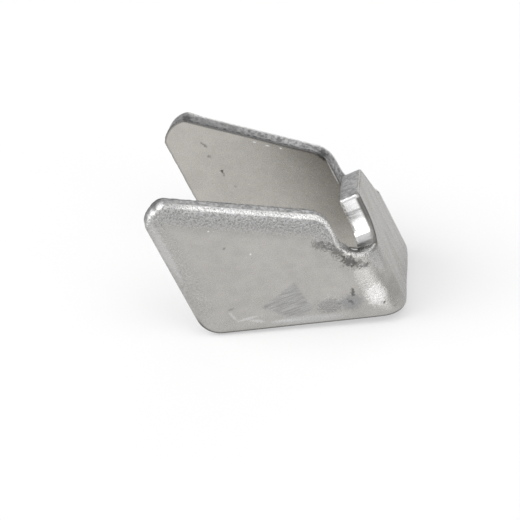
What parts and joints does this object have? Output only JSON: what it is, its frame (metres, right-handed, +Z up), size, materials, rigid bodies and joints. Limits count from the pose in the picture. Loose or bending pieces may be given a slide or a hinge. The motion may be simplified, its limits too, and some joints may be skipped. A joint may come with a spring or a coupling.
{
  "type": "exhaust spring bracket",
  "caption": "Folded sheet bracket with splayed wings, open cut-outs at the folds and a leaning tongue between them that takes the hook of an exhaust spring.",
  "frame": {"origin": "on the ground that the bracket rests on, under the middle of its length and width", "axes": "+Z up from the ground, +X from the free ends of the wings towards the base and its tongue, +Y across from one wing to the other; the XZ plane is the plane of symmetry"},
  "size_m": [0.0292, 0.0262, 0.0162],
  "materials": {
    "stainless_sheet": "tumbled satin stainless steel with sheared edges"
  },
  "bodies": {
    "root": {"spring_bracket": "stainless_sheet"}
  },
  "joints": []
}
